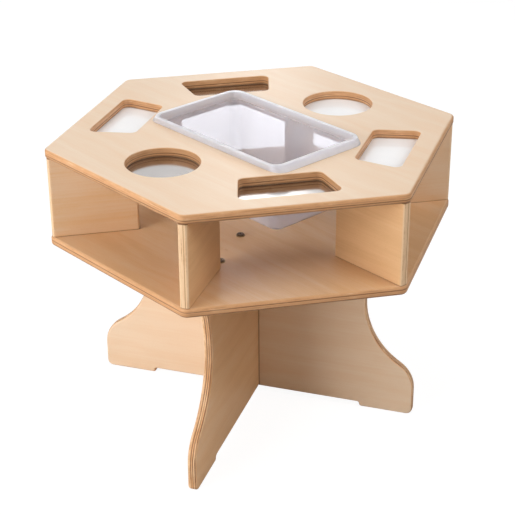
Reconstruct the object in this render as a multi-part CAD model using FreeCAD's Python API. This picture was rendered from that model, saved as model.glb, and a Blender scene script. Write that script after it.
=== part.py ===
import FreeCAD, Part
import math
import os

# Hexagonal activity table in birch ply. Millimetres, z = 0 on the floor, the table's axis on z.
# Two of the hexagon's corners and the tray's length lie along x.

# Boards: one sheet thickness for every panel, and how the edges are rounded or eased.
board = 19.0
round_over = 5.0
leg_round_over = 4.5
well_round_over = 2.0
well_foot_chamfer = 1.2
divider_arris = 1.0
hex_corner = 18.0

# Hexagonal top and shelf.
corner_to_corner = 850.0
table_height = 606.0
compartment_height = 171.0

# Tray: inside of its mouth, the lip round it, how far the skirt leans out at the ends, walls and depth.
tray_mouth_length = 363.0
tray_mouth_width = 220.0
tray_mouth_corner = 20.0
tray_lip = 8.2
tray_end_flare = 10.0
tray_rim_corner = 28.0
tray_rim_height = 12.0
tray_rim_round = 2.2
tray_mouth_round = 1.2
tray_flange = 2.5
tray_skirt = 2.0
tray_wall = 2.5
tray_depth = 150.0
tray_taper = 15.0
tray_base_radius = 9.0
tray_gap = 1.5

# Wells: trapezoids towards the tray's corners, rounds beside its long sides.
well_rim_gap = 6.4
well_edge_margin = 44.5
well_inner_width = 160.0
well_outer_width = 200.0
well_corner = 14.0
round_well_diameter = 146.0
round_well_edge_margin = 57.8

# Well floors: sheets screwed under the top.
floor_sheet = 4.0
floor_lap = 14.0
floor_screw_inset = 16.0
floor_screw_diameter = 3.5
floor_screw_head_diameter = 7.0
floor_screw_head = 2.4
floor_screw_head_round = 1.2
floor_screw_length = 14.0

# Dividers under the hexagon's corners, with their dowels and screws.
divider_tip_setback = 2.2
divider_tray_gap = 56.5
divider_fixing_inset = 35.0
dowel_diameter = 8.0
dowel_length = 40.0
dowel_in_top = 12.0
dowel_chamfer = 1.0
divider_screw_diameter = 5.0
divider_screw_head_diameter = 10.0
divider_screw_length = 50.0

# Drive recess of the wood screws.
drive_square = 2.2
drive_depth = 1.4

# Leg boards: foot tips inside the hexagon's outline, neck, shoulder and foot pads.
leg_inset = 16.5
leg_neck_inset = 108.0
leg_neck_drop = 141.0
leg_flare = 38.0
leg_shoulder_radius = 68.0
foot_height = 60.0
foot_length = 111.0
foot_toe_radius = 13.0
foot_relief = 10.0

# Shelf bolts with their washers, and the barrel nuts in the legs.
bolt_diameter = 6.0
bolt_head_diameter = 15.0
bolt_head = 3.0
bolt_head_round = 1.8
bolt_socket_flats = 4.0
bolt_socket_depth = 2.0
bolt_tail = 8.0
bolt_from_axis = 96.0
bolt_from_divider = 24.0
bolt_from_leg_end = 92.0
washer_diameter = 18.0
washer = 1.5
nut_diameter = 10.0
nut_length = 15.0
nut_drop = 32.0
nut_slot_width = 1.4
nut_slot_depth = 1.0

# Clearances: round a loose and a snug fastener, past its end, and each side of the leg halving.
hole_clearance = 0.3
snug_clearance = 0.1
end_clearance = 0.5
halving_clearance = 0.2

Vector = FreeCAD.Vector
ORIGIN = Vector(0, 0, 0)
UP = Vector(0, 0, 1)
THROUGH_LEG = Vector(0, 1, 0)
COS_30 = math.cos(math.radians(30))
SIN_30 = math.sin(math.radians(30))
LEVEL_TOLERANCE = 1e-4

# Where the pieces lie around the axis, in degrees from x.
CORNER_ANGLES = {
    "right": 0,
    "back_right": 60,
    "back_left": 120,
    "left": 180,
    "front_left": 240,
    "front_right": 300,
}
TRAPEZOID_FLOOR_ANGLES = {
    "mirror_front_right": 330,
    "whiteboard_back_right": 30,
    "mirror_back_left": 150,
    "whiteboard_front_left": 210,
}
ROUND_FLOOR_ANGLES = {
    "mirror_front": 270,
    "whiteboard_back": 90,
}
LONG_LEG_ANGLE = 300
SHORT_LEG_ANGLE = 210

# Levels, from the top down.
rim_top = table_height + tray_rim_height
top_underside = table_height - board
floor_underside = top_underside - floor_sheet
shelf_top = top_underside - compartment_height
leg_top = shelf_top - board
halving_level = (foot_relief + leg_top) / 2

# Distances from the axis.
corner_radius = corner_to_corner / 2
flat_distance = corner_radius * COS_30
cutout_half_length = tray_mouth_length / 2 + tray_wall + tray_gap
cutout_half_width = tray_mouth_width / 2 + tray_wall + tray_gap
cutout_corner = tray_mouth_corner + tray_wall + tray_gap
rim_half_length = tray_mouth_length / 2 + tray_lip
rim_half_width = tray_mouth_width / 2 + tray_lip
skirt_half_length = rim_half_length + tray_end_flare
rim_reach_along = (skirt_half_length - tray_rim_corner) * COS_30
rim_reach_across = (rim_half_width - tray_rim_corner) * SIN_30
well_inner = rim_reach_along + rim_reach_across + tray_rim_corner + well_rim_gap
well_outer = flat_distance - well_edge_margin
round_well_centre = flat_distance - round_well_edge_margin - round_well_diameter / 2
corner_tip = corner_radius - hex_corner * (1 / COS_30 - 1)
divider_outer = corner_tip - divider_tip_setback
divider_inner = cutout_half_length + divider_tray_gap
divider_fixings = (divider_inner + divider_fixing_inset, divider_outer - divider_fixing_inset)
long_leg_tip = corner_radius - leg_inset
short_leg_tip = flat_distance - leg_inset
short_leg_crown = short_leg_tip - leg_neck_inset + leg_flare


def both_ways(places):
    """The same distances on both sides of the axis."""
    return [-place for place in places] + places


LEG_BOLTS = {
    LONG_LEG_ANGLE: both_ways([bolt_from_axis, divider_inner - bolt_from_divider]),
    SHORT_LEG_ANGLE: both_ways([short_leg_crown - bolt_from_leg_end]),
}


def turned(shape, angle):
    """A copy of the shape turned about the table's axis."""
    copy = shape.copy()
    copy.rotate(ORIGIN, UP, angle)
    return copy


def cylinder(radius, height, foot, axis=UP):
    return Part.makeCylinder(radius, height, foot, axis)


def block(low, high):
    """A box between two opposite corners."""
    size = high - low
    return Part.makeBox(size.x, size.y, size.z, low)


def joined(solids):
    """One solid from several that overlap or share faces."""
    return solids[0].multiFuse(solids[1:]).removeSplitter()


def rounded_outline(corners, radius):
    """A closed wire through the corners, each rounded by an arc of the radius."""
    stations = []
    for index, corner in enumerate(corners):
        to_last = (corners[index - 1] - corner).normalize()
        to_next = (corners[(index + 1) % len(corners)] - corner).normalize()
        half_angle = to_last.getAngle(to_next) / 2
        bisector = (to_last + to_next).normalize()
        start = corner + to_last * (radius / math.tan(half_angle))
        end = corner + to_next * (radius / math.tan(half_angle))
        middle = corner + bisector * (radius / math.sin(half_angle) - radius)
        stations.append((start, middle, end))
    edges = []
    for index, (start, middle, end) in enumerate(stations):
        edges.append(Part.LineSegment(stations[index - 1][2], start).toShape())
        edges.append(Part.Arc(start, middle, end).toShape())
    return Part.Wire(edges)


def rectangle(half_length, half_width):
    return [
        Vector(-half_length, -half_width, 0),
        Vector(half_length, -half_width, 0),
        Vector(half_length, half_width, 0),
        Vector(-half_length, half_width, 0),
    ]


def prism(wire, z_low, z_high):
    """The outline, drawn at z = 0, raised into a solid between two levels."""
    solid = Part.Face(wire).extrude(UP * (z_high - z_low))
    solid.translate(UP * z_low)
    return solid


def lies_at(shape, level):
    """Whether an edge or a face lies flat at one level."""
    box = shape.BoundBox
    return abs(box.ZMin - level) < LEVEL_TOLERANCE and abs(box.ZMax - level) < LEVEL_TOLERANCE


def edges_at(solid, level):
    return [edge for edge in solid.Edges if lies_at(edge, level)]


def upright_edges(solid):
    """The edges that run from the solid's base to its upper face."""
    height = solid.BoundBox.ZLength
    return [edge for edge in solid.Edges if edge.BoundBox.ZLength > height / 2]


def opening_edges(solid, level):
    """The edges of the openings in the solid's largest flat face at a level."""
    face = max((f for f in solid.Faces if lies_at(f, level)), key=lambda f: f.Area)
    rims = [wire for wire in face.Wires if not wire.isSame(face.OuterWire)]
    return [edge for rim in rims for edge in rim.Edges]


def hexagon_board(z_low):
    """A hexagonal board with rounded corners and both its arrises rounded over."""
    angles = [math.radians(angle) for angle in CORNER_ANGLES.values()]
    corners = [Vector(math.cos(a), math.sin(a), 0) * corner_radius for a in angles]
    solid = prism(rounded_outline(corners, hex_corner), z_low, z_low + board)
    return solid.makeFillet(round_over, edges_at(solid, z_low) + edges_at(solid, z_low + board))


def trapezoid_prism(lap, z_low, z_high):
    """The trapezoid well's outline, grown by a lap all round, with its axis along x."""
    side_slope = (well_outer_width - well_inner_width) / 2 / (well_outer - well_inner)
    side_shift = lap * math.hypot(1, side_slope)
    inner_half = well_inner_width / 2 - lap * side_slope + side_shift
    outer_half = well_outer_width / 2 + lap * side_slope + side_shift
    corners = [
        Vector(well_inner - lap, -inner_half, 0),
        Vector(well_outer + lap, -outer_half, 0),
        Vector(well_outer + lap, outer_half, 0),
        Vector(well_inner - lap, inner_half, 0),
    ]
    return prism(rounded_outline(corners, well_corner + lap), z_low, z_high)


def round_prism(lap, z_low, z_high):
    """The round well, grown by a lap all round, on the x axis."""
    foot = Vector(round_well_centre, 0, z_low)
    return cylinder(round_well_diameter / 2 + lap, z_high - z_low, foot)


def trapezoid_screw_places():
    """Screw axes in the lap of a trapezoid floor, two inside and two outside the well."""
    inner_half = well_inner_width / 2 - floor_screw_inset
    outer_half = well_outer_width / 2 - floor_screw_inset
    places = []
    for side in (-1, 1):
        places.append(Vector(well_inner - floor_lap / 2, side * inner_half, 0))
        places.append(Vector(well_outer + floor_lap / 2, side * outer_half, 0))
    return places


def round_screw_places():
    """Screw axes in the lap of a round floor, on its diagonals."""
    centre = Vector(round_well_centre, 0, 0)
    reach = Vector((round_well_diameter + floor_lap) / 2, 0, 0)
    diagonals = [FreeCAD.Rotation(UP, angle) for angle in (45, 135, 225, 315)]
    return [centre + diagonal.multVec(reach) for diagonal in diagonals]


# Each well floor: the angle it lies at, its shape and the places of its screws.
WELLS = {}
for floor_name, floor_angle in TRAPEZOID_FLOOR_ANGLES.items():
    WELLS[floor_name] = (floor_angle, trapezoid_prism, trapezoid_screw_places())
for floor_name, floor_angle in ROUND_FLOOR_ANGLES.items():
    WELLS[floor_name] = (floor_angle, round_prism, round_screw_places())


def divider_dowels(radius, past_end):
    """The two upright dowels of a divider on the x axis, or their holes."""
    low = top_underside + dowel_in_top - dowel_length - past_end
    length = dowel_length + 2 * past_end
    return [cylinder(radius, length, Vector(reach, 0, low)) for reach in divider_fixings]


def divider_screws(clearance, past_end):
    """The two countersunk screws of a divider on the x axis, or their holes."""
    shank = divider_screw_diameter / 2 + clearance
    head = divider_screw_head_diameter / 2 + clearance
    point = divider_screw_diameter
    straight = divider_screw_length - point + past_end
    screws = []
    for reach in divider_fixings:
        foot = Vector(reach, 0, leg_top)
        countersink = Part.makeCone(head, shank, head - shank, foot, UP)
        shaft = cylinder(shank, straight, foot)
        tip = Part.makeCone(shank, 0, point, foot + UP * straight, UP)
        screws.append(joined([countersink, shaft, tip]))
    return screws


def dowel_holes():
    return divider_dowels(dowel_diameter / 2 + snug_clearance, end_clearance)


def screw_holes():
    return divider_screws(snug_clearance, end_clearance)


def drive_recess(foot):
    """The square recess in a wood screw's head, upwards from the head's face."""
    corner = foot - Vector(drive_square / 2, drive_square / 2, 0)
    return Part.makeBox(drive_square, drive_square, drive_depth, corner)


def table_top():
    """The top board with its tray cut-out, its wells and blind holes in its underside."""
    cutout = rounded_outline(rectangle(cutout_half_length, cutout_half_width), cutout_corner)
    openings = [prism(cutout, top_underside, table_height)]
    for angle, shape, screw_places in WELLS.values():
        openings.append(turned(shape(0, top_underside, table_height), angle))
    solid = hexagon_board(top_underside).cut(openings)
    solid = solid.makeFillet(well_round_over, opening_edges(solid, table_height))
    solid = solid.makeChamfer(well_foot_chamfer, opening_edges(solid, top_underside))

    holes = []
    pilot_depth = floor_screw_length - floor_sheet + end_clearance
    pilot_radius = floor_screw_diameter / 2 + snug_clearance
    for angle, shape, screw_places in WELLS.values():
        for place in screw_places:
            pilot = cylinder(pilot_radius, pilot_depth, place + UP * top_underside)
            holes.append(turned(pilot, angle))
    for angle in CORNER_ANGLES.values():
        holes.extend(turned(hole, angle) for hole in dowel_holes())
    return solid.cut(holes)


def well_floor(angle, shape, screw_places):
    """A sheet under a well, with loose holes for its screws."""
    sheet = shape(floor_lap, floor_underside, top_underside)
    radius = floor_screw_diameter / 2 + hole_clearance
    holes = [cylinder(radius, floor_sheet, place + UP * floor_underside) for place in screw_places]
    return turned(sheet.cut(holes), angle)


def floor_screw(place):
    """A pan-head screw up through a well floor into the top."""
    seat = place + UP * floor_underside
    head_foot = seat - UP * floor_screw_head
    head = cylinder(floor_screw_head_diameter / 2, floor_screw_head, head_foot)
    head = head.makeFillet(floor_screw_head_round, edges_at(head, head_foot.z))
    point = floor_screw_diameter
    tip_foot = seat + UP * (floor_screw_length - point)
    shaft = cylinder(floor_screw_diameter / 2, floor_screw_length - point, seat)
    tip = Part.makeCone(floor_screw_diameter / 2, 0, point, tip_foot, UP)
    return joined([head, shaft, tip]).cut(drive_recess(head_foot))


def all_floor_screws():
    screws = []
    for angle, shape, screw_places in WELLS.values():
        screws.extend(turned(floor_screw(place), angle) for place in screw_places)
    return Part.makeCompound(screws)


def divider(angle):
    """An upright board under one corner, its ends rounded over and its arrises eased, with fixing holes."""
    low = Vector(divider_inner, -board / 2, shelf_top)
    high = Vector(divider_outer, board / 2, top_underside)
    solid = block(low, high)
    solid = solid.makeFillet(round_over, upright_edges(solid))
    solid = solid.makeFillet(divider_arris, edges_at(solid, low.z) + edges_at(solid, high.z))
    return turned(solid.cut(dowel_holes() + screw_holes()), angle)


def all_dowels():
    pegs = []
    for peg in divider_dowels(dowel_diameter / 2, 0):
        box = peg.BoundBox
        peg = peg.makeChamfer(dowel_chamfer, edges_at(peg, box.ZMin) + edges_at(peg, box.ZMax))
        pegs.extend(turned(peg, angle) for angle in CORNER_ANGLES.values())
    return Part.makeCompound(pegs)


def all_divider_screws():
    screws = []
    for reach, screw in zip(divider_fixings, divider_screws(0, 0)):
        screw = screw.cut(drive_recess(Vector(reach, 0, leg_top)))
        screws.extend(turned(screw, angle) for angle in CORNER_ANGLES.values())
    return Part.makeCompound(screws)


def arc(centre, start, end):
    """The shorter arc between two points about a centre."""
    radius = (start - centre).Length
    middle = centre + ((start + end) / 2 - centre).normalize() * radius
    return Part.Arc(start, middle, end).toShape()


def line(start, end):
    return Part.LineSegment(start, end).toShape()


def leg_outline(tip):
    """The outline of a leg board in x and z, from its foot tip's distance to the axis.

    Each end flares out below the shelf, narrows to a neck, sweeps out over a rounded shoulder
    and stands on a foot pad, with a shallow relief between the two pads.
    """
    neck = tip - leg_neck_inset
    neck_height = leg_top - leg_neck_drop
    flare_radius = (leg_neck_drop ** 2 + leg_flare ** 2) / (2 * leg_flare)
    rise = neck_height - foot_height
    sweep_radius = (rise ** 2 / leg_neck_inset + leg_neck_inset) / 2 - leg_shoulder_radius
    heel = tip - foot_length
    step = foot_relief / 2

    flare_centre = Vector(neck + flare_radius, 0, neck_height)
    sweep_centre = Vector(neck + sweep_radius, 0, neck_height)
    shoulder_centre = Vector(tip - leg_shoulder_radius, 0, foot_height)
    toe_centre = Vector(tip - foot_toe_radius, 0, foot_toe_radius)
    heel_centre = Vector(heel, 0, step)
    relief_centre = Vector(heel - foot_relief, 0, step)

    crown = Vector(neck + leg_flare, 0, leg_top)
    waist = Vector(neck, 0, neck_height)
    turn = sweep_centre + (shoulder_centre - sweep_centre).normalize() * sweep_radius
    shoulder = Vector(tip, 0, foot_height)
    toe = Vector(tip, 0, foot_toe_radius)
    sole = Vector(tip - foot_toe_radius, 0, 0)
    sole_end = Vector(heel, 0, 0)
    half_step = Vector(heel - step, 0, step)
    relief = Vector(heel - foot_relief, 0, foot_relief)

    one_end = [
        arc(flare_centre, crown, waist),
        arc(sweep_centre, waist, turn),
        arc(shoulder_centre, turn, shoulder),
        line(shoulder, toe),
        arc(toe_centre, toe, sole),
        line(sole, sole_end),
        arc(heel_centre, sole_end, half_step),
        arc(relief_centre, half_step, relief),
    ]
    other_end = [turned(edge, 180) for edge in one_end]
    across_relief = line(relief, Vector(-relief.x, 0, relief.z))
    across_top = line(crown, Vector(-crown.x, 0, crown.z))
    return Part.Wire(Part.sortEdges(one_end + [across_relief] + other_end + [across_top])[0])


def leg_board(tip, slot_low, slot_high, angle):
    """A leg board with its halving slot, bolt holes from above and nut holes in its back face."""
    solid = Part.Face(leg_outline(tip)).extrude(THROUGH_LEG * board)
    solid.translate(THROUGH_LEG * (-board / 2))
    along_faces = [edge for edge in solid.Edges if edge.BoundBox.YLength < LEVEL_TOLERANCE]
    solid = solid.makeFillet(leg_round_over, [e for e in along_faces if not lies_at(e, leg_top)])

    half_slot = board / 2 + halving_clearance
    cuts = [block(Vector(-half_slot, -board, slot_low), Vector(half_slot, board, slot_high))]
    bolt_depth = nut_drop + bolt_tail + end_clearance
    nut_depth = (board + nut_length) / 2 + end_clearance
    for place in LEG_BOLTS[angle]:
        bolt_foot = Vector(place, 0, leg_top - bolt_depth)
        nut_foot = Vector(place, -board / 2, leg_top - nut_drop)
        cuts.append(cylinder(bolt_diameter / 2 + hole_clearance, bolt_depth, bolt_foot))
        cuts.append(cylinder(nut_diameter / 2 + snug_clearance, nut_depth, nut_foot, THROUGH_LEG))
    return turned(solid.cut(cuts), angle)


def at_leg_bolts(make):
    """One solid at every leg bolt, made by a function of its distance from the axis."""
    solids = []
    for angle, places in LEG_BOLTS.items():
        solids.extend(turned(make(place), angle) for place in places)
    return solids


def shelf_bolt(place):
    """A flat-headed bolt with a hexagon socket, down through the shelf to its barrel nut."""
    seat = Vector(place, 0, shelf_top + washer)
    head = cylinder(bolt_head_diameter / 2, bolt_head, seat)
    head = head.makeFillet(bolt_head_round, edges_at(head, seat.z + bolt_head))
    length = washer + board + nut_drop + bolt_tail
    shank = cylinder(bolt_diameter / 2, length, seat - UP * length)
    corner = Vector(bolt_socket_flats / 2 / COS_30, 0, 0)
    socket_foot = seat + UP * (bolt_head - bolt_socket_depth)
    corners = [FreeCAD.Rotation(UP, 60 * side).multVec(corner) for side in range(7)]
    hexagon = Part.makePolygon([socket_foot + point for point in corners])
    socket = Part.Face(hexagon).extrude(UP * bolt_socket_depth)
    return joined([head, shank]).cut(socket)


def bolt_washer(place):
    foot = Vector(place, 0, shelf_top)
    hole = cylinder(bolt_diameter / 2 + hole_clearance, washer, foot)
    return cylinder(washer_diameter / 2, washer, foot).cut(hole)


def barrel_nut(place):
    """A cross dowel in the leg, with a hole for the bolt and a slot to turn it by."""
    middle = Vector(place, 0, leg_top - nut_drop)
    foot = middle - THROUGH_LEG * (nut_length / 2)
    barrel = cylinder(nut_diameter / 2, nut_length, foot, THROUGH_LEG)
    hole_foot = middle - UP * (nut_diameter / 2)
    bolt_hole = cylinder(bolt_diameter / 2 + snug_clearance, nut_diameter, hole_foot)
    slot_low = foot - Vector(nut_slot_width / 2, 0, nut_diameter / 2)
    slot = Part.makeBox(nut_slot_width, nut_slot_depth, nut_diameter, slot_low)
    return barrel.cut([bolt_hole, slot])


def shelf_bolt_hole(place):
    return cylinder(bolt_diameter / 2 + hole_clearance, board, Vector(place, 0, leg_top))


def shelf():
    """The shelf board with bolt holes over the legs and countersunk holes under the dividers."""
    cuts = at_leg_bolts(shelf_bolt_hole)
    for angle in CORNER_ANGLES.values():
        cuts.extend(turned(hole, angle) for hole in screw_holes())
    return hexagon_board(leg_top).cut(cuts)


def tub(wall, z_low):
    """The tray's tapered body up to its rim, as one solid a wall thickness larger than its mouth."""
    narrowing = (rim_top - z_low) / tray_depth * tray_taper
    half_length = tray_mouth_length / 2 + wall
    half_width = tray_mouth_width / 2 + wall
    rings = []
    for inset, level in ((narrowing, z_low), (0, rim_top)):
        points = [p + UP * level for p in rectangle(half_length - inset, half_width - inset)]
        rings.append(Part.makePolygon(points + points[:1]))
    solid = Part.makeLoft(rings, True, True)
    solid = solid.makeFillet(tray_mouth_corner + wall, upright_edges(solid))
    return solid.makeFillet(tray_base_radius + wall, edges_at(solid, z_low))


def skirt_block(inset, z_high):
    """The rim's outside down to the top, leaning out at its ends, or the hollow inside its skirt."""
    lean = (rim_top - z_high) / tray_rim_height * tray_end_flare
    outlines = []
    for half_length, level in ((skirt_half_length, table_height), (rim_half_length + lean, z_high)):
        corners = rectangle(half_length - inset, rim_half_width - inset)
        outline = rounded_outline(corners, tray_rim_corner - inset)
        outline.translate(UP * level)
        outlines.append(outline)
    return Part.makeLoft(outlines, True, True)


def tray():
    """A thin clear tub hung by its lip, whose skirt stands on the top around the cut-out."""
    base = rim_top - tray_depth
    rim = skirt_block(0, rim_top)
    rim = rim.makeFillet(tray_rim_round, edges_at(rim, rim_top))
    rim = rim.cut(skirt_block(tray_skirt, rim_top - tray_flange))
    solid = joined([rim, tub(tray_wall, base)]).cut(tub(0, base + tray_wall))
    return solid.makeFillet(tray_mouth_round, opening_edges(solid, rim_top))


nodes = {
    "table_top": table_top(),
    "shelf": shelf(),
    "long_leg": leg_board(long_leg_tip, halving_level, leg_top + board, LONG_LEG_ANGLE),
    "short_leg": leg_board(short_leg_tip, -board, halving_level, SHORT_LEG_ANGLE),
    "tray": tray(),
    "top_dowels": all_dowels(),
    "divider_screws": all_divider_screws(),
    "floor_screws": all_floor_screws(),
    "shelf_bolts": Part.makeCompound(at_leg_bolts(shelf_bolt)),
    "bolt_washers": Part.makeCompound(at_leg_bolts(bolt_washer)),
    "barrel_nuts": Part.makeCompound(at_leg_bolts(barrel_nut)),
}
for corner_name, corner_angle in CORNER_ANGLES.items():
    nodes["divider_" + corner_name] = divider(corner_angle)
for floor_name, (floor_angle, floor_shape, floor_screw_places) in WELLS.items():
    nodes[floor_name] = well_floor(floor_angle, floor_shape, floor_screw_places)

os.makedirs("parts", exist_ok=True)
for node_name, shape in nodes.items():
    shape.exportStep("parts/" + node_name + ".step")
    print(node_name, "solids", len(shape.Solids), "valid", shape.isValid(), "volume", round(shape.Volume))
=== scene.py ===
import math

import bpy
from mathutils import Matrix, Vector


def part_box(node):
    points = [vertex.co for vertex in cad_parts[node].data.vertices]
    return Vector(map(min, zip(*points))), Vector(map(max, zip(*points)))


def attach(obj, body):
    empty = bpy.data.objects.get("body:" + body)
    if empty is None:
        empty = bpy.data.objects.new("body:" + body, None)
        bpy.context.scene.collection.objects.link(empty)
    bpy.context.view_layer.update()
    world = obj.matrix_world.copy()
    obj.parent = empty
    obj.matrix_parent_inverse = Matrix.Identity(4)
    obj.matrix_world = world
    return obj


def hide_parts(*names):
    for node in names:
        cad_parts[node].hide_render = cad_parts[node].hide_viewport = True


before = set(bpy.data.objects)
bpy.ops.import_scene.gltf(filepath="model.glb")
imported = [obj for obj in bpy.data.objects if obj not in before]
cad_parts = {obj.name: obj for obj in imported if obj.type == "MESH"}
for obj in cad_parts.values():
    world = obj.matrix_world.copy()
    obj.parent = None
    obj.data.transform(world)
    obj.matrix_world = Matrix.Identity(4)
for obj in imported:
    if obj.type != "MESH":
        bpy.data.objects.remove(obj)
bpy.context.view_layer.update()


# Leg boards: two sheets of birch plywood sawn to an S-curved outline and halved into each other.
# Their edges are rounded over and the whole board has a clear satin lacquer, so the plies show as
# stripes wherever the edge cuts through them. The face grain runs along each board.
board_thickness = 0.019
ply_count = 9
veneer_tones = [
    (0.00, (0.440, 0.225, 0.095)),
    (0.35, (0.670, 0.390, 0.190)),
    (0.58, (0.785, 0.492, 0.262)),
    (0.74, (0.815, 0.570, 0.372)),
    (0.88, (0.825, 0.615, 0.430)),
    (1.00, (0.850, 0.665, 0.490)),
]
light_ply_tones = [(0.0, (0.660, 0.350, 0.165)), (1.0, (0.850, 0.600, 0.370))]
dark_ply_tones = [(0.0, (0.280, 0.120, 0.045)), (0.45, (0.470, 0.245, 0.112)), (1.0, (0.700, 0.440, 0.240))]
# Glue lines show in this colour, and the painted shade at the boards' undersides and joints darkens towards
# it.
glue_line_and_shade_colour = (0.270, 0.125, 0.050)
# The cut plies come to show between two depths below a face. A level board's edge gets painted shade
# towards its underside: a dark line that fades out between two heights above it, and a wider shade that
# ends just above its middle plane.
arris_depths = (0.00004, 0.0012)
shade_line_heights = (0.0020, 0.0032)
shade_top = 0.004
# Outwards past the wells, the painted shade comes in over this distance.
shade_fade = 0.01
# How dark the painted shade makes a board in the gap where it meets another, and the distances from the
# slot's side where it is still clear and where it is at its darkest.
gap_shade_darkness = 0.85
slot_clear, slot_dark = 0.0020, 0.0010


def put(tree, socket, value):
    """Sets a socket to a plain value, or links another socket to it."""
    if isinstance(value, bpy.types.NodeSocket):
        tree.links.new(value, socket)
    elif socket.type == "RGBA" and len(value) == 3:
        socket.default_value = (*value, 1.0)
    else:
        socket.default_value = value


def add(tree, kind, settings=None, **values):
    """A new node with its settings, and its inputs set or linked by name."""
    node = tree.nodes.new(kind)
    for name, value in (settings or {}).items():
        setattr(node, name, value)
    for name, value in values.items():
        put(tree, node.inputs[name.replace("_", " ")], value)
    return node


def calc(tree, operation, *values):
    """The result of one sum on numbers or sockets."""
    node = add(tree, "ShaderNodeMath", {"operation": operation})
    for socket, value in zip(node.inputs, values):
        put(tree, socket, value)
    return node.outputs[0]


def eased(tree, value, low, high, at_low=0.0, at_high=1.0):
    """A value eased from one level to another between two limits."""
    node = add(tree, "ShaderNodeMapRange", {"interpolation_type": "SMOOTHSTEP"}, Value=value)
    for name, number in (("From Min", low), ("From Max", high), ("To Min", at_low), ("To Max", at_high)):
        node.inputs[name].default_value = number
    return node.outputs["Result"]


def vector_calc(tree, operation, *values):
    """The result of one sum on points or directions, which is a number for a length or a dot product."""
    node = add(tree, "ShaderNodeVectorMath", {"operation": operation})
    for socket, value in zip(node.inputs, values):
        put(tree, socket, value)
    return node.outputs["Value" if operation in ("LENGTH", "DOT_PRODUCT") else "Vector"]


def height_of(tree, point):
    return add(tree, "ShaderNodeSeparateXYZ", None, Vector=point).outputs["Z"]


def mottle(tree, point, waves, detail=2.0, roughness=0.5, distortion=0.0):
    """Noise with so many waves per metre along each direction."""
    node = add(tree, "ShaderNodeTexNoise", None, Vector=vector_calc(tree, "MULTIPLY", point, waves),
               Scale=1.0, Detail=detail, Roughness=roughness, Distortion=distortion)
    return node.outputs["Fac"]


def graded(tree, value, stops):
    """A colour read off a ramp."""
    node = add(tree, "ShaderNodeValToRGB", None, Fac=value)
    elements = node.color_ramp.elements
    while len(elements) < len(stops):
        elements.new(1.0)
    for element, (place, colour) in zip(elements, stops):
        element.position = place
        element.color = (*colour, 1.0)
    return node.outputs["Color"]


def mixed(tree, share, first, second):
    """A colour between two others."""
    node = add(tree, "ShaderNodeMix", {"data_type": "RGBA", "blend_type": "MIX"})
    put(tree, node.inputs[0], share)
    put(tree, node.inputs[6], first)
    put(tree, node.inputs[7], second)
    return node.outputs[2]


def blended(tree, share, first, second):
    """A number between two others."""
    node = add(tree, "ShaderNodeMix", {"data_type": "FLOAT"})
    put(tree, node.inputs[0], share)
    put(tree, node.inputs[2], first)
    put(tree, node.inputs[3], second)
    return node.outputs[0]


def shader_group(name, inputs, outputs):
    """An empty shader group with named sockets, its input node's outputs and its output node."""
    group = bpy.data.node_groups.new(name, "ShaderNodeTree")
    for socket_name, kind in inputs:
        group.interface.new_socket(socket_name, in_out="INPUT", socket_type=kind)
    for socket_name, kind in outputs:
        group.interface.new_socket(socket_name, in_out="OUTPUT", socket_type=kind)
    return group, group.nodes.new("NodeGroupInput").outputs, group.nodes.new("NodeGroupOutput").inputs


# The figure of a peeled birch veneer, in board coordinates with the grain along x.
birch_figure, given, result = shader_group(
    "birch_figure",
    [("Board Point", "NodeSocketVector"), ("Paleness", "NodeSocketFloat"), ("Dullness", "NodeSocketFloat")],
    [("Color", "NodeSocketColor"), ("Roughness", "NodeSocketFloat"), ("Height", "NodeSocketFloat")],
)
point = given["Board Point"]
cloud = mottle(birch_figure, point, (2.2, 11.0, 40.0), detail=3.0, roughness=0.55, distortion=0.5)
flame_point = vector_calc(birch_figure, "MULTIPLY", point, (0.32, 1.0, 1.0))
flame = add(
    birch_figure,
    "ShaderNodeTexWave",
    {"wave_type": "BANDS", "bands_direction": "Y", "wave_profile": "SIN"},
    Vector=flame_point,
    Scale=7.0,
    Distortion=9.0,
    Detail=3.0,
    Detail_Scale=1.6,
    Detail_Roughness=0.55,
).outputs["Fac"]
streak = mottle(birch_figure, point, (5.0, 210.0, 210.0), detail=3.0, roughness=0.6)
fibre = mottle(birch_figure, point, (45.0, 1500.0, 1500.0), detail=2.0, roughness=0.6)
pore = eased(birch_figure, mottle(birch_figure, point, (190.0, 2600.0, 2600.0), detail=1.0), 0.60, 0.72)
speck_cell = add(
    birch_figure,
    "ShaderNodeTexVoronoi",
    {"feature": "F1"},
    Vector=vector_calc(birch_figure, "MULTIPLY", point, (7.0, 16.0, 16.0)),
    Scale=1.0,
    Randomness=1.0,
)
speck_share = add(birch_figure, "ShaderNodeSeparateColor", None,
                  Color=speck_cell.outputs["Color"]).outputs[0]
speck_size = eased(birch_figure, speck_share, 0.62, 1.0, 0.0, 0.045)
speck_depth = calc(birch_figure, "SUBTRACT", speck_size, speck_cell.outputs["Distance"])
speck = eased(birch_figure, speck_depth, -0.004, 0.014)
tone = calc(birch_figure, "MULTIPLY_ADD", cloud, 0.38, given["Paleness"])
tone = calc(birch_figure, "MULTIPLY_ADD", flame, 0.07, tone)
tone = calc(birch_figure, "MULTIPLY_ADD", streak, 0.22, tone)
tone = calc(birch_figure, "MULTIPLY_ADD", fibre, 0.12, tone)
tone = calc(birch_figure, "MULTIPLY_ADD", pore, -0.10, tone)
tone = calc(birch_figure, "MULTIPLY_ADD", speck, -0.15, tone)
put(birch_figure, result["Color"], graded(birch_figure, tone, veneer_tones))
put(birch_figure, result["Roughness"], calc(birch_figure, "MULTIPLY_ADD", cloud, 0.06, given["Dullness"]))
fibre_height = calc(birch_figure, "MULTIPLY_ADD", streak, 0.6, calc(birch_figure, "MULTIPLY", fibre, 0.4))
put(birch_figure, result["Height"], calc(birch_figure, "MULTIPLY_ADD", pore, -0.35, fibre_height))

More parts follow.
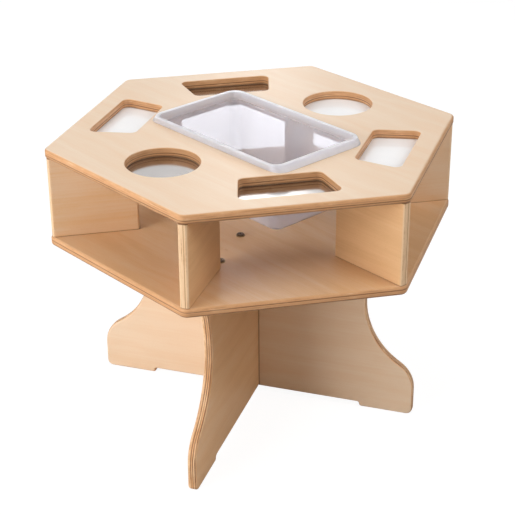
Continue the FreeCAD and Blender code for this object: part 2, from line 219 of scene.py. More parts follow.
# The whole board: the figure on its two faces, and stripes of crossed plies where an edge cuts in.
birch_ply, given, result = shader_group(
    "birch_ply",
    [("Board Point", "NodeSocketVector"), ("Paleness", "NodeSocketFloat"),
     ("Edge Paleness", "NodeSocketFloat"), ("Stripes", "NodeSocketFloat"), ("Sheet", "NodeSocketFloat"),
     ("Seam", "NodeSocketFloat"), ("Shade", "NodeSocketFloat"), ("Dullness", "NodeSocketFloat")],
    [("Color", "NodeSocketColor"), ("Roughness", "NodeSocketFloat"), ("Height", "NodeSocketFloat")],
)
point = given["Board Point"]
face = add(birch_ply, "ShaderNodeGroup", {"node_tree": birch_figure}, Board_Point=point,
           Paleness=given["Paleness"], Dullness=given["Dullness"])
through = height_of(birch_ply, point)
waver = mottle(birch_ply, point, (16.0, 16.0, 16.0), detail=2.0)
ply_place = calc(birch_ply, "MULTIPLY_ADD", through, ply_count / board_thickness, ply_count / 2)
ply_place = calc(birch_ply, "ADD", ply_place, calc(birch_ply, "MULTIPLY_ADD", waver, 0.30, -0.15))
ply_place = calc(birch_ply, "MINIMUM", calc(birch_ply, "MAXIMUM", ply_place, 0.5), ply_count - 0.5)
ply_wave = calc(birch_ply, "PINGPONG", calc(birch_ply, "SUBTRACT", ply_place, 0.5), 1.0)
ply_number = calc(birch_ply, "FLOOR", ply_place)
ply_share = add(birch_ply, "ShaderNodeTexWhiteNoise", {"noise_dimensions": "1D"},
                W=calc(birch_ply, "ADD", ply_number, given["Sheet"])).outputs["Value"]
per_ply = add(birch_ply, "ShaderNodeCombineXYZ", None,
              Z=calc(birch_ply, "MULTIPLY", ply_number, 3.7)).outputs[0]
patch_point = vector_calc(birch_ply, "MULTIPLY", point, (17.0, 17.0, 17.0))
in_ply = vector_calc(birch_ply, "ADD", patch_point, per_ply)
patch = mottle(birch_ply, in_ply, (1.0, 1.0, 1.0), detail=4.0, roughness=0.65)
end_grain = mottle(birch_ply, point, (1400.0, 1400.0, 1400.0), detail=2.0)
strength = calc(birch_ply, "ADD", eased(birch_ply, ply_share, 0.35, 0.85, 0.05, 0.95),
                eased(birch_ply, patch, 0.35, 0.65, 0.30, -0.25))
strength = calc(birch_ply, "MINIMUM", calc(birch_ply, "MAXIMUM", strength, 0.0), 1.0)
strength = calc(birch_ply, "MULTIPLY", strength, given["Stripes"])
dark_ply = calc(birch_ply, "MULTIPLY", eased(birch_ply, ply_wave, 0.42, 0.58), strength)
from_joint = calc(birch_ply, "ABSOLUTE", calc(birch_ply, "SUBTRACT", ply_wave, 0.5))
glue = calc(birch_ply, "MULTIPLY", eased(birch_ply, from_joint, 0.0, 0.10, 0.45, 0.0), strength)
cut_figure = calc(birch_ply, "MULTIPLY_ADD", end_grain, 0.16, patch)
cut_tone = eased(birch_ply, calc(birch_ply, "ADD", cut_figure, given["Edge Paleness"]), 0.38, 0.76)
cut_colour = mixed(birch_ply, dark_ply, graded(birch_ply, cut_tone, light_ply_tones),
                   graded(birch_ply, calc(birch_ply, "SUBTRACT", cut_tone, 0.35), dark_ply_tones))
cut_colour = mixed(birch_ply, glue, cut_colour, glue_line_and_shade_colour)
cut_depth = calc(birch_ply, "SUBTRACT", board_thickness / 2, calc(birch_ply, "ABSOLUTE", through))
cut = eased(birch_ply, cut_depth, *arris_depths)
# Painted shade: towards a level board's underside its cut edge darkens into a thin dark line and a wider
# shade.
underside = -board_thickness / 2
underside_shade = eased(birch_ply, through, underside + shade_line_heights[0], underside + shade_line_heights[1], 0.75, 0.0)
underside_shade = calc(birch_ply, "MULTIPLY", underside_shade, given["Seam"])
cut_colour = mixed(birch_ply, underside_shade, cut_colour, glue_line_and_shade_colour)
shade = eased(birch_ply, through, underside, shade_top, 0.42, 0.0)
shade = calc(birch_ply, "MULTIPLY", shade, given["Shade"])
cut_colour = mixed(birch_ply, shade, cut_colour, glue_line_and_shade_colour)
put(birch_ply, result["Color"], mixed(birch_ply, cut, face.outputs["Color"], cut_colour))
cut_roughness = eased(birch_ply, patch, 0.3, 0.7, 0.46, 0.36)
put(birch_ply, result["Roughness"], blended(birch_ply, cut, face.outputs["Roughness"], cut_roughness))
cut_height = calc(birch_ply, "MULTIPLY_ADD", dark_ply, -0.5, calc(birch_ply, "MULTIPLY", end_grain, 0.5))
put(birch_ply, result["Height"], blended(birch_ply, cut, face.outputs["Height"], cut_height))


def new_material(name):
    """An empty material with its tree and its Principled shader."""
    material = bpy.data.materials.new(name)
    material.use_nodes = True
    tree = material.node_tree
    tree.nodes.clear()
    shader = tree.nodes.new("ShaderNodeBsdfPrincipled")
    tree.links.new(shader.outputs["BSDF"], tree.nodes.new("ShaderNodeOutputMaterial").inputs["Surface"])
    return material, tree, shader


def object_point(tree):
    return tree.nodes.new("ShaderNodeTexCoord").outputs["Object"]


# Paleness and edge paleness are given board by board. They are partly each board's own tone and partly
# painted light and shade: boards and cut edges that stand mostly in shade are darker and redder, lit ones
# paler, and the paler edges of the legs and dividers are partly a painted highlight on their rounded
# arrises.
def birch_board(name, along, across, middle, shift, paleness, edge_paleness, stripes, sheet, dullness,
                underside_shade=0.0, wells_reach=0.0, joint=None):
    """Lacquered birch ply for a board with its grain along one direction, about its middle plane.

    The sheet picks which plies stand out. The underside shade is painted shade that darkens a level
    board's edge towards its underside, less so on openings within the wells' reach of the axis. A joint
    is a direction, a place along it and two distances from that place, between which painted shade
    darkens the board into the gap where it meets another board.
    """
    material, tree, shader = new_material(name)
    through_board = along.cross(across)
    turn = Matrix((along, across, through_board)).to_euler()
    place = Vector((shift[0], shift[1], -through_board.dot(middle)))
    spot = object_point(tree)
    mapping = add(tree, "ShaderNodeMapping", {"vector_type": "POINT"}, Vector=spot, Rotation=turn,
                  Location=place)
    # The painted shade at the underside is left out of the openings within the wells' reach.
    from_axis = vector_calc(tree, "LENGTH", vector_calc(tree, "MULTIPLY", spot, (1.0, 1.0, 0.0)))
    shade = eased(tree, from_axis, wells_reach, wells_reach + shade_fade, 0.0, underside_shade)
    ply = add(tree, "ShaderNodeGroup", {"node_tree": birch_ply}, Board_Point=mapping.outputs["Vector"],
              Paleness=paleness, Edge_Paleness=edge_paleness, Stripes=stripes, Sheet=float(sheet),
              Seam=underside_shade, Shade=shade, Dullness=dullness)
    bump = add(tree, "ShaderNodeBump", None, Strength=0.05, Distance=0.0003, Height=ply.outputs["Height"])
    colour = ply.outputs["Color"]
    # Painted shade: the board darkens towards the gap where it meets another board.
    if joint:
        direction, middle_place, clear, dark = joint
        reach = vector_calc(tree, "DOT_PRODUCT", spot, direction)
        away = calc(tree, "ABSOLUTE", calc(tree, "SUBTRACT", reach, middle_place))
        colour = mixed(tree, eased(tree, away, clear, dark, 0.0, gap_shade_darkness), colour, glue_line_and_shade_colour)
    put(tree, shader.inputs["Base Color"], colour)
    put(tree, shader.inputs["Roughness"], ply.outputs["Roughness"])
    put(tree, shader.inputs["Normal"], bump.outputs["Normal"])
    shader.inputs["IOR"].default_value = 1.5
    shader.inputs["Coat Weight"].default_value = 0.05
    shader.inputs["Coat Roughness"].default_value = 0.22
    return material


def finish_node(node, material):
    """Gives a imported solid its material."""
    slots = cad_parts[node].data.materials
    slots.clear()
    slots.append(material)


def spoke(angle):
    return Vector((math.cos(math.radians(angle)), math.sin(math.radians(angle)), 0.0))


up = Vector((0.0, 0.0, 1.0))
axis = Vector((0.0, 0.0, 0.0))
crossing = board_thickness / 2
# Each leg's paleness is partly painted light and shade: the short leg, whose face is lit, is paler than the
# long leg, whose seen face is in shade.
for node, angle, shift, paleness, sheet in (
    ("long_leg", 300, (0.31, 0.12), 0.18, 14),
    ("short_leg", 210, (1.43, 0.57), 0.54, 81),
):
    # Painted shade in the slot where the two leg boards are halved into each other.
    slot_gap_shade = (spoke(angle), 0.0, crossing + slot_clear, crossing + slot_dark)
    finish_node(node, birch_board(
        node + "_birch", along=spoke(angle), across=up, middle=axis, shift=shift, paleness=paleness,
        edge_paleness=-0.02, stripes=2.2, sheet=sheet, dullness=0.28, joint=slot_gap_shade,
    ))


# Barrel nuts: short turned steel rods in cross holes of the legs, slotted to line them up.
# Bright zinc plating, a little dulled.
zinc_tones = [(0.0, (0.300, 0.290, 0.275)), (1.0, (0.560, 0.550, 0.535))]
zinc_plate, tree, shader = new_material("zinc_plate")
place = object_point(tree)
cloud = mottle(tree, place, (240.0, 240.0, 240.0), detail=4.0, roughness=0.6)
scratch = mottle(tree, place, (3000.0, 3000.0, 500.0), detail=1.0)
put(tree, shader.inputs["Base Color"], graded(tree, cloud, zinc_tones))
wear = calc(tree, "MULTIPLY_ADD", scratch, 0.5, cloud)
put(tree, shader.inputs["Roughness"], eased(tree, wear, 0.4, 1.0, 0.24, 0.44))
shader.inputs["Metallic"].default_value = 1.0
bump = add(tree, "ShaderNodeBump", None, Strength=0.1, Distance=0.0001, Height=scratch)
put(tree, shader.inputs["Normal"], bump.outputs["Normal"])
finish_node("barrel_nuts", zinc_plate)


# Shelf: a hexagon of the same birch ply, sawn to shape with all its edges rounded over and lacquered.
# It is bolted down on the crossed legs and carries the dividers.
shelf_low, shelf_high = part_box("shelf")
shelf_middle = (shelf_low + shelf_high) / 2
finish_node("shelf", birch_board(
    "shelf_birch", along=spoke(0), across=spoke(90), middle=shelf_middle, shift=(0.77, 2.1), paleness=0.22,
    edge_paleness=-0.22, stripes=1.0, sheet=53, dullness=0.31, underside_shade=0.8,
))


# Shelf bolts: bronzed steel bolts with a flat head and a hexagon socket, screwed down through the
# shelf into the barrel nuts, on steel washers that are plated a dull brass colour. One rule turns
# every bolt and screw of the table.
lathe_sides = 36
drive_chamfer = 0.0002
full_turn = 6.283
# Points this close are welded, edges past this angle stay crisp, and every turn is nudged by a hair
# so that each corner of a drive falls on a known side of it.
weld_distance = 0.000004
crisp_angle = 0.55
corner_nudge = 0.00001
bolt_sizes = {
    "Head Diameter": 0.0150,
    "Head Height": 0.0030,
    "Head Round": 0.0018,
    "Head Taper": 0.0,
    "Drive Sides": 6,
    "Drive Width": 0.0040,
    "Drive Depth": 0.0020,
    "Shank Diameter": 0.0060,
    "Shank Length": 0.0605,
    "Tip Length": 0.0010,
    "Tip Diameter": 0.0044,
    "Tilt": 0.0,
    "Largest Turn": full_turn,
    "Seed": 4,
}
bronze_tones = [(0.0, (0.085, 0.058, 0.040)), (1.0, (0.230, 0.165, 0.120))]
dark_bronze, tree, shader = new_material("dark_bronze")
place = object_point(tree)
rubbed = mottle(tree, place, (420.0, 420.0, 420.0), detail=4.0, roughness=0.65)
put(tree, shader.inputs["Base Color"], graded(tree, rubbed, bronze_tones))
put(tree, shader.inputs["Roughness"], eased(tree, rubbed, 0.3, 0.75, 0.48, 0.28))
shader.inputs["Metallic"].default_value = 1.0
bolts_along = {300: (-0.218, -0.096, 0.096, 0.218), 210: (-0.1896, 0.1896)}
washer_thickness = 0.0015


def fastener_rule():
    """A tree that turns one bolt or screw from its sizes and sets it on every given point."""
    tree = bpy.data.node_groups.new("turned_fastener", "GeometryNodeTree")
    sockets = tree.interface
    sockets.new_socket("Places", in_out="INPUT", socket_type="NodeSocketGeometry")
    for name, value in bolt_sizes.items():
        kind = "NodeSocketInt" if isinstance(value, int) else "NodeSocketFloat"
        sockets.new_socket(name, in_out="INPUT", socket_type=kind)
    sockets.new_socket("Finish", in_out="INPUT", socket_type="NodeSocketMaterial")
    sockets.new_socket("Fasteners", in_out="OUTPUT", socket_type="NodeSocketGeometry")
    size = tree.nodes.new("NodeGroupInput").outputs

    def half(value):
        return calc(tree, "MULTIPLY", value, 0.5)

    def less(first, second):
        return calc(tree, "SUBTRACT", first, second)

    def rounded(share):
        return calc(tree, "MULTIPLY", size["Head Round"], share)

    head = half(size["Head Diameter"])
    shank = half(size["Shank Diameter"])
    drive = half(size["Drive Width"])
    drive_lip = calc(tree, "ADD", drive, drive_chamfer)
    crown = size["Head Height"]
    drive_floor = less(crown, size["Drive Depth"])
    rim_foot = less(crown, size["Head Round"])
    tip = calc(tree, "MULTIPLY", size["Shank Length"], -1.0)
    # A quarter circle's points at a third and two thirds, as shares of its radius from its corner.
    arc_near, arc_far = 0.134, 0.5
    # Radius, height and share of the drive's flat sides, from the middle of the head to the tip.
    stations = [
        (0.0, drive_floor, 0.0),
        (drive, drive_floor, 1.0),
        (drive, less(crown, drive_chamfer), 1.0),
        (drive_lip, crown, 1.0),
        (less(head, size["Head Round"]), crown, 0.0),
        (less(head, rounded(arc_far)), less(crown, rounded(arc_near)), 0.0),
        (less(head, rounded(arc_near)), less(crown, rounded(arc_far)), 0.0),
        (head, rim_foot, 0.0),
        (head, calc(tree, "MINIMUM", rim_foot, 0.0), 0.0),
        (shank, calc(tree, "MULTIPLY", size["Head Taper"], -1.0), 0.0),
        (shank, calc(tree, "ADD", tip, size["Tip Length"]), 0.0),
        (half(size["Tip Diameter"]), tip, 0.0),
        (0.0, tip, 0.0),
    ]
    last = len(stations) - 1
    grid = add(tree, "GeometryNodeMeshGrid", None, Size_X=float(lathe_sides), Size_Y=float(last),
               Vertices_X=lathe_sides + 1, Vertices_Y=last + 1)
    spot = tree.nodes.new("GeometryNodeInputPosition").outputs[0]
    flat = add(tree, "ShaderNodeSeparateXYZ", None, Vector=spot)
    step = calc(tree, "ADD", flat.outputs["X"], lathe_sides / 2)
    turn = calc(tree, "MULTIPLY", step, 2 * math.pi / lathe_sides)
    number = calc(tree, "ROUND", calc(tree, "ADD", flat.outputs["Y"], last / 2))

    def at_station(part):
        pick = add(tree, "GeometryNodeIndexSwitch", {"data_type": "FLOAT"})
        while len(pick.index_switch_items) < len(stations):
            pick.index_switch_items.new()
        put(tree, pick.inputs["Index"], number)
        for socket, station in zip(list(pick.inputs)[1:], stations):
            put(tree, socket, station[part])
        return pick.outputs[0]

    side = calc(tree, "DIVIDE", 2 * math.pi, size["Drive Sides"])
    from_flat = less(calc(tree, "FLOORED_MODULO", calc(tree, "ADD", turn, corner_nudge), side), half(side))
    corner = calc(tree, "DIVIDE", 1.0, calc(tree, "COSINE", from_flat))
    radius = calc(tree, "MULTIPLY", at_station(0), blended(tree, at_station(2), 1.0, corner))
    place = add(
        tree,
        "ShaderNodeCombineXYZ",
        None,
        X=calc(tree, "MULTIPLY", radius, calc(tree, "COSINE", turn)),
        Y=calc(tree, "MULTIPLY", radius, calc(tree, "SINE", turn)),
        Z=at_station(1),
    ).outputs[0]
    lathe = add(tree, "GeometryNodeSetPosition", None, Geometry=grid.outputs["Mesh"], Position=place)
    outward = add(tree, "GeometryNodeFlipFaces", None, Mesh=lathe.outputs[0])
    closed = add(tree, "GeometryNodeMergeByDistance", None, Geometry=outward.outputs[0],
                 Distance=weld_distance)
    smooth = add(tree, "GeometryNodeSetShadeSmooth", {"domain": "FACE"}, Geometry=closed.outputs[0],
                 Shade_Smooth=True)
    edge_angle = tree.nodes.new("GeometryNodeInputMeshEdgeAngle").outputs[0]
    arris = calc(tree, "GREATER_THAN", edge_angle, crisp_angle)
    crisp = add(tree, "GeometryNodeSetShadeSmooth", {"domain": "EDGE"}, Geometry=smooth.outputs[0],
                Selection=arris, Shade_Smooth=False)
    any_turn = add(tree, "FunctionNodeRandomValue", {"data_type": "FLOAT"}, Seed=size["Seed"])
    put(tree, any_turn.inputs[2], 0.0)
    put(tree, any_turn.inputs[3], size["Largest Turn"])
    stance = add(tree, "ShaderNodeCombineXYZ", None, X=size["Tilt"], Z=any_turn.outputs[1])
    stance = add(tree, "FunctionNodeEulerToRotation", None, Euler=stance.outputs[0])
    placed = add(tree, "GeometryNodeInstanceOnPoints", None, Points=size["Places"],
                 Instance=crisp.outputs[0], Rotation=stance.outputs[0])
    real = add(tree, "GeometryNodeRealizeInstances", None, Geometry=placed.outputs[0])
    finished = add(tree, "GeometryNodeSetMaterial", None, Geometry=real.outputs[0], Material=size["Finish"])
    tree.links.new(finished.outputs[0], tree.nodes.new("NodeGroupOutput").inputs["Fasteners"])
    return tree


turned_fastener = fastener_rule()


def set_fasteners(name, places, sizes, finish, node):
    """Steel fasteners at places on the table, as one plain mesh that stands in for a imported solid."""
    points = bpy.data.meshes.new(name + "_places")
    points.from_pydata(places, [], [])
    piece = bpy.data.objects.new(name, points)
    bpy.context.scene.collection.objects.link(piece)
    modifier = piece.modifiers.new("turned", "NODES")
    modifier.node_group = turned_fastener
    for socket in turned_fastener.interface.items_tree:
        if socket.name in sizes:
            modifier[socket.identifier] = sizes[socket.name]
        elif socket.name == "Finish":
            modifier[socket.identifier] = finish
    now = bpy.context.evaluated_depsgraph_get()
    made = bpy.data.meshes.new_from_object(piece.evaluated_get(now), depsgraph=now)
    piece.modifiers.clear()
    piece.data = made
    made.name = name
    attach(piece, "table")
    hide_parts(node)


bolt_seat = shelf_high.z + washer_thickness
bolt_places = [
    spoke(angle) * reach + up * bolt_seat
    for angle, reaches in bolts_along.items()
    for reach in reaches
]
set_fasteners("shelf_bolt_set", bolt_places, bolt_sizes, dark_bronze, "shelf_bolts")
washer_brass, tree, shader = new_material("dull_brass")
place = object_point(tree)
tarnish = mottle(tree, place, (300.0, 300.0, 300.0), detail=4.0, roughness=0.65)
brass_tones = [(0.25, (0.30, 0.20, 0.11)), (0.75, (0.52, 0.38, 0.23))]
put(tree, shader.inputs["Base Color"], graded(tree, tarnish, brass_tones))
put(tree, shader.inputs["Roughness"], eased(tree, tarnish, 0.3, 0.7, 0.48, 0.34))
shader.inputs["Metallic"].default_value = 1.0
finish_node("bolt_washers", washer_brass)


# Dividers: six upright ply boards under the hexagon's corners, screwed and dowelled between the
# shelf and the top. Their grain runs from the table's middle to its corner.
# Each divider's node, its angle round the table, its paleness and the sheet that it is sawn from. The
# paleness is partly painted light and shade: dividers that stand in shade are darker and redder.
dividers = (
    ("divider_right", 0, 0.12, 176),
    ("divider_back_right", 60, 0.34, 1420),
    ("divider_back_left", 120, 0.19, 22),
    ("divider_left", 180, 0.22, 193),
    ("divider_front_left", 240, 0.27, 1459),
    ("divider_front_right", 300, 0.06, 275),
)
divider_middle = (shelf_high.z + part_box("table_top")[0].z) / 2
divider_reach = divider_middle - shelf_high.z
# Painted shade where the dividers' feet and heads meet the shelf and the top.
foot_clear, foot_dark = 0.0017, 0.0008
foot_gap_shade = (up, divider_middle, divider_reach - foot_clear, divider_reach - foot_dark)
for number, (node, angle, paleness, sheet) in enumerate(dividers):
    shift = (0.9 + 0.83 * number, 3.1 + 0.47 * number)
    finish_node(node, birch_board(
        node + "_birch", along=spoke(angle), across=up, middle=axis, shift=shift, paleness=paleness,
        edge_paleness=0.18, stripes=1.3, sheet=sheet, dullness=0.28, joint=foot_gap_shade,
    ))


# Dowels and screws of the dividers: bare beech pegs glued into the top and the dividers, and
# countersunk zinc-plated screws driven up through the shelf into the dividers' feet.
beech, tree, shader = new_material("bare_beech")
place = object_point(tree)
ray = mottle(tree, place, (900.0, 900.0, 60.0), detail=3.0)
beech_tones = [(0.25, (0.42, 0.24, 0.12)), (0.75, (0.66, 0.45, 0.27))]
put(tree, shader.inputs["Base Color"], graded(tree, ray, beech_tones))
put(tree, shader.inputs["Roughness"], eased(tree, ray, 0.3, 0.7, 0.55, 0.7))
finish_node("top_dowels", beech)
divider_screw_sizes = {
    "Head Diameter": 0.0100,
    "Head Height": 0.0,
    "Head Round": 0.0002,
    "Head Taper": 0.0025,
    "Drive Sides": 4,
    "Drive Width": 0.0022,
    "Drive Depth": 0.0014,
    "Shank Diameter": 0.0050,
    "Shank Length": 0.0500,
    "Tip Length": 0.0050,
    "Tip Diameter": 0.0002,
    "Tilt": math.pi,
    "Largest Turn": full_turn,
    "Seed": 9,
}
divider_screw_reaches = (0.277, 0.385)
divider_screw_places = [
    spoke(angle) * reach + up * shelf_low.z
    for node, angle, paleness, sheet in dividers
    for reach in divider_screw_reaches
]
set_fasteners("divider_screw_set", divider_screw_places, divider_screw_sizes, zinc_plate, "divider_screws")


# Table top: the upper hexagon of lacquered birch ply, glued on the dividers' dowels. The tray's
# cut-out and the six wells are routed right through it and their arrises are rounded.
top_low, top_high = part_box("table_top")
top_middle = (top_low + top_high) / 2
# The top's paleness is partly painted light on its lit face, and its darker edges partly painted shade on
# the wells' walls.
finish_node("table_top", birch_board(
    "top_birch", along=spoke(0), across=spoke(90), middle=top_middle, shift=(5.2, 4.4), paleness=0.46,
    edge_paleness=-0.20, stripes=1.0, sheet=34, dullness=0.33, underside_shade=1.0, wells_reach=0.345,
))


# Mirror floors: sheets of acrylic mirror screwed under three wells, so that their faces lie at the
# bottom of the wells. The face is silvered and a little hazy, and the back is painted grey.
sheet_low, sheet_top = (corner.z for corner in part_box("mirror_front"))
silver_depths = (0.0006, 0.0002)
silver_tones = [(0.2, (0.455, 0.435, 0.425)), (0.8, (0.505, 0.483, 0.472))]
back_paint_tones = [(0.3, (0.20, 0.21, 0.22)), (0.7, (0.27, 0.28, 0.29))]
mirror, tree, shader = new_material("acrylic_mirror")
place = object_point(tree)
level = height_of(tree, place)
silvered = eased(tree, level, sheet_top - silver_depths[0], sheet_top - silver_depths[1])
smear = mottle(tree, place, (18.0, 30.0, 18.0), detail=4.0, roughness=0.6, distortion=0.8)
paint = mottle(tree, place, (160.0, 160.0, 160.0), detail=3.0)
silver = graded(tree, smear, silver_tones)
back_paint = graded(tree, paint, back_paint_tones)
put(tree, shader.inputs["Base Color"], mixed(tree, silvered, back_paint, silver))
put(tree, shader.inputs["Metallic"], silvered)
polish = calc(tree, "MULTIPLY_ADD", silvered, -2.0, smear)
put(tree, shader.inputs["Roughness"], eased(tree, polish, -1.7, 1.0, 0.13, 0.6))
for node in ("mirror_front_right", "mirror_back_left", "mirror_front"):
    finish_node(node, mirror)


# White floors: dry-wipe boards screwed under the other three wells, a glossy white face on brown
# hardboard.
facing_depths = (0.0008, 0.0004)
white_tones = [(0.2, (0.945, 0.95, 0.96)), (0.6, (0.975, 0.975, 0.98))]
hardboard_tones = [(0.3, (0.16, 0.09, 0.05)), (0.7, (0.30, 0.18, 0.10))]
dry_wipe, tree, shader = new_material("dry_wipe_board")
place = object_point(tree)
level = height_of(tree, place)
faced = eased(tree, level, sheet_top - facing_depths[0], sheet_top - facing_depths[1])
wiped = mottle(tree, place, (20.0, 34.0, 20.0), detail=4.0, roughness=0.6, distortion=1.2)
felt = mottle(tree, place, (700.0, 900.0, 700.0), detail=4.0)
white = graded(tree, wiped, white_tones)
hardboard = graded(tree, felt, hardboard_tones)
put(tree, shader.inputs["Base Color"], mixed(tree, faced, hardboard, white))
gloss = calc(tree, "MULTIPLY_ADD", faced, -2.0, wiped)
put(tree, shader.inputs["Roughness"], eased(tree, gloss, -1.8, 1.0, 0.10, 0.8))
for node in ("whiteboard_back_right", "whiteboard_front_left", "whiteboard_back"):
    finish_node(node, dry_wipe)


# Floor screws: pan-headed zinc-plated screws, four to a sheet, driven up through loose holes in the
# sheet's lap into the underside of the top.
floor_screw_sizes = {
    "Head Diameter": 0.0070,
    "Head Height": 0.0024,
    "Head Round": 0.0012,
    "Head Taper": 0.0,
    "Drive Sides": 4,
    "Drive Width": 0.0022,
    "Drive Depth": 0.0014,
    "Shank Diameter": 0.0035,
    "Shank Length": 0.0140,
    "Tip Length": 0.0035,
    "Tip Diameter": 0.0002,
    "Tilt": math.pi,
    "Largest Turn": full_turn,
    "Seed": 15,
}
trapezoid_wells = (30, 150, 210, 330)
round_wells = (90, 270)
# Screws lie so far out from the table's axis and to each side, and on a ring round a round sheet.
inner_lap = (0.2212, 0.064)
outer_lap = (0.3306, 0.084)
round_middle = 0.23726
round_lap = 0.080
lap_places = [
    Vector((reach, side * half_width, sheet_low))
    for reach, half_width in (inner_lap, outer_lap)
    for side in (-1, 1)
]
round_lap_places = [
    Vector((round_middle, 0.0, sheet_low)) + spoke(turn) * round_lap
    for turn in (45, 135, 225, 315)
]
floor_screw_places = [
    Matrix.Rotation(math.radians(angle), 3, "Z") @ place
    for wells, places in ((trapezoid_wells, lap_places), (round_wells, round_lap_places))
    for angle in wells
    for place in places
]
set_fasteners("floor_screw_set", floor_screw_places, floor_screw_sizes, zinc_plate, "floor_screws")


# Tray: one thin tub moulded in clear plastic that is slightly milky, more so at its lip. It hangs
# loose in the top's cut-out by the skirt of its rim, and lifts straight out.
tray_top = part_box("tray")[1].z
lip_depths = (0.0215, 0.0150)
wall_tones = [(0.25, (0.945, 0.932, 0.990)), (0.75, (0.965, 0.952, 1.0))]
rim_tones = [(0.25, (0.945, 0.940, 0.985)), (0.75, (0.970, 0.965, 1.0))]
tray_plastic, tree, shader = new_material("milky_clear_plastic")
place = object_point(tree)
level = height_of(tree, place)
rim = eased(tree, level, tray_top - lip_depths[0], tray_top - lip_depths[1])
haze = mottle(tree, place, (26.0, 26.0, 26.0), detail=4.0, roughness=0.6)
scuff = mottle(tree, place, (300.0, 300.0, 40.0), detail=3.0)
wall_colour = graded(tree, haze, wall_tones)
rim_colour = graded(tree, haze, rim_tones)
put(tree, shader.inputs["Base Color"], mixed(tree, rim, wall_colour, rim_colour))
scuffed = eased(tree, calc(tree, "MULTIPLY_ADD", scuff, 0.4, haze), 0.4, 1.0, 0.02, 0.06)
put(tree, shader.inputs["Roughness"], calc(tree, "MULTIPLY_ADD", rim, 0.30, scuffed))
shader.inputs["Transmission Weight"].default_value = 0.68
shader.inputs["Sheen Weight"].default_value = 0.25
shader.inputs["Sheen Roughness"].default_value = 0.45
shader.inputs["IOR"].default_value = 1.50
finish_node("tray", tray_plastic)


# Stage: a white floor that keeps the table's shadow and a white surround. Six soft lamps light the
# table: one from the front, fills from both sides, one overhead, and two behind for the sheen.
floor_half = 9.0
floor_mesh = bpy.data.meshes.new("stage_floor")
floor_corners = [(x * floor_half, y * floor_half, 0.0) for x, y in ((-1, -1), (1, -1), (1, 1), (-1, 1))]
floor_mesh.from_pydata(floor_corners, [], [(0, 1, 2, 3)])
floor = bpy.data.objects.new("stage_floor", floor_mesh)
bpy.context.scene.collection.objects.link(floor)
floor_paint = bpy.data.materials.new("stage_white")
floor_paint.use_nodes = True
tree = floor_paint.node_tree
tree.nodes.clear()
bounce = add(tree, "ShaderNodeBsdfDiffuse", None, Color=(0.71, 0.655, 0.60))
matt = add(tree, "ShaderNodeBsdfDiffuse", None, Color=(0.16, 0.16, 0.16))
seen = add(tree, "ShaderNodeLightPath")
brightness = calc(tree, "MULTIPLY_ADD", seen.outputs["Is Transmission Ray"], 0.36, 0.92)
glow = add(tree, "ShaderNodeEmission", None, Color=(1.0, 1.0, 1.0), Strength=brightness)
shown = calc(tree, "MAXIMUM", seen.outputs["Is Camera Ray"], seen.outputs["Is Transmission Ray"])
lit = tree.nodes.new("ShaderNodeAddShader")
tree.links.new(matt.outputs[0], lit.inputs[0])
tree.links.new(glow.outputs[0], lit.inputs[1])
choice = tree.nodes.new("ShaderNodeMixShader")
put(tree, choice.inputs[0], shown)
tree.links.new(bounce.outputs[0], choice.inputs[1])
tree.links.new(lit.outputs[0], choice.inputs[2])
open_below = tree.nodes.new("ShaderNodeMixShader")
put(tree, open_below.inputs[0], tree.nodes.new("ShaderNodeNewGeometry").outputs["Backfacing"])
tree.links.new(choice.outputs[0], open_below.inputs[1])
tree.links.new(tree.nodes.new("ShaderNodeBsdfTransparent").outputs[0], open_below.inputs[2])
tree.links.new(open_below.outputs[0], tree.nodes.new("ShaderNodeOutputMaterial").inputs["Surface"])
floor_mesh.materials.append(floor_paint)

# Shiny faces see a pale surround down to the floor, dimmed on the side where the back lamps stand.
lamp_side = (-0.664, 0.598, 0.449)
surround = bpy.data.worlds.new("white_surround")
surround.use_nodes = True
tree = surround.node_tree
tree.nodes.clear()
seen = add(tree, "ShaderNodeLightPath")
sight = tree.nodes.new("ShaderNodeTexCoord").outputs["Generated"]
overhead = eased(tree, height_of(tree, sight), -0.10, 0.05)
facing = eased(tree, vector_calc(tree, "DOT_PRODUCT", sight, lamp_side), 0.78, 0.94, 0.85, 0.1)
backdrop = calc(tree, "MULTIPLY", seen.outputs["Is Glossy Ray"], calc(tree, "MULTIPLY", overhead, facing))
shown = calc(tree, "MAXIMUM", seen.outputs["Is Transmission Ray"], backdrop)
shown = calc(tree, "MAXIMUM", seen.outputs["Is Camera Ray"], shown)
soft = add(tree, "ShaderNodeBackground", None, Color=(1.0, 1.0, 1.0), Strength=0.025)
white = add(tree, "ShaderNodeBackground", None, Color=(1.0, 1.0, 1.0), Strength=1.0)
choice = tree.nodes.new("ShaderNodeMixShader")
put(tree, choice.inputs[0], shown)
tree.links.new(soft.outputs[0], choice.inputs[1])
tree.links.new(white.outputs[0], choice.inputs[2])
tree.links.new(choice.outputs[0], tree.nodes.new("ShaderNodeOutputWorld").inputs["Surface"])
bpy.context.scene.world = surround


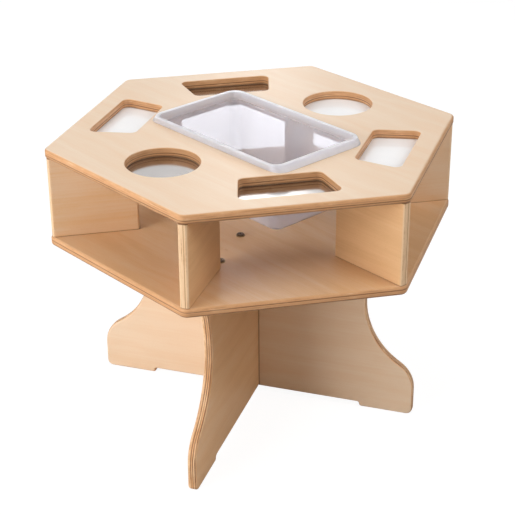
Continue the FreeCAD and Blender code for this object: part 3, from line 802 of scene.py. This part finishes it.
def soft_lamp(name, place, aim, width, height, watts, mirrored=False, tint=(1.0, 1.0, 1.0)):
    """A rectangular soft lamp that points at a place, and may show in shiny surfaces."""
    lamp = bpy.data.lights.new(name, "AREA")
    lamp.shape = "RECTANGLE"
    lamp.size = width
    lamp.size_y = height
    lamp.energy = watts
    lamp.color = tint
    holder = bpy.data.objects.new(name, lamp)
    holder.location = place
    holder.rotation_mode = "QUATERNION"
    holder.rotation_quaternion = (Vector(aim) - Vector(place)).to_track_quat("-Z", "Y")
    holder.visible_glossy = mirrored
    bpy.context.scene.collection.objects.link(holder)


table_middle = Vector((0.0, 0.0, 0.35))
soft_lamp("key_lamp", (-0.3, -3.2, 1.35), table_middle, width=2.1, height=2.6, watts=98.0)
soft_lamp("left_lamp", (-1.9, -2.6, 0.9), table_middle, width=2.0, height=1.5, watts=15.0,
          tint=(0.90, 0.98, 1.0))
soft_lamp("right_lamp", (2.3, 0.85, 2.5), table_middle, width=2.0, height=2.0, watts=51.0)
soft_lamp("back_panel", (-2.55, 1.6, 2.0), table_middle, width=3.4, height=2.6, watts=26.0, mirrored=True)
soft_lamp("back_strip", (-2.18, 1.97, 1.9), table_middle, width=0.42, height=1.8, watts=4.7, mirrored=True)
soft_lamp("top_lamp", (-0.7, -0.35, 3.3), table_middle, width=2.0, height=2.0, watts=31.0)


# Camera: a long lens a little above the table, looking down across the front right corner, so that
# the top, two compartments and both leg boards show.
camera_place = Vector((1.9901, -1.7867, 1.6643))
camera_aim = Vector((0.0035, 0.0038, 0.3183))
camera_roll = math.radians(-0.32)
lens = bpy.data.cameras.new("photo_camera")
lens.lens = 99.05
lens.sensor_width = 36.0
lens.shift_x = -0.0006
lens.shift_y = 0.0012
camera = bpy.data.objects.new("photo_camera", lens)
ahead = (camera_aim - camera_place).normalized()
level_right = ahead.cross(up).normalized()
level_up = level_right.cross(ahead)
right = level_right * math.cos(camera_roll) + level_up * math.sin(camera_roll)
camera_up = right.cross(ahead)
camera.matrix_world = Matrix((
    (right.x, camera_up.x, -ahead.x, camera_place.x),
    (right.y, camera_up.y, -ahead.y, camera_place.y),
    (right.z, camera_up.z, -ahead.z, camera_place.z),
    (0.0, 0.0, 0.0, 1.0),
))
bpy.context.scene.collection.objects.link(camera)
bpy.context.scene.camera = camera
bpy.context.scene.view_settings.view_transform = "Standard"
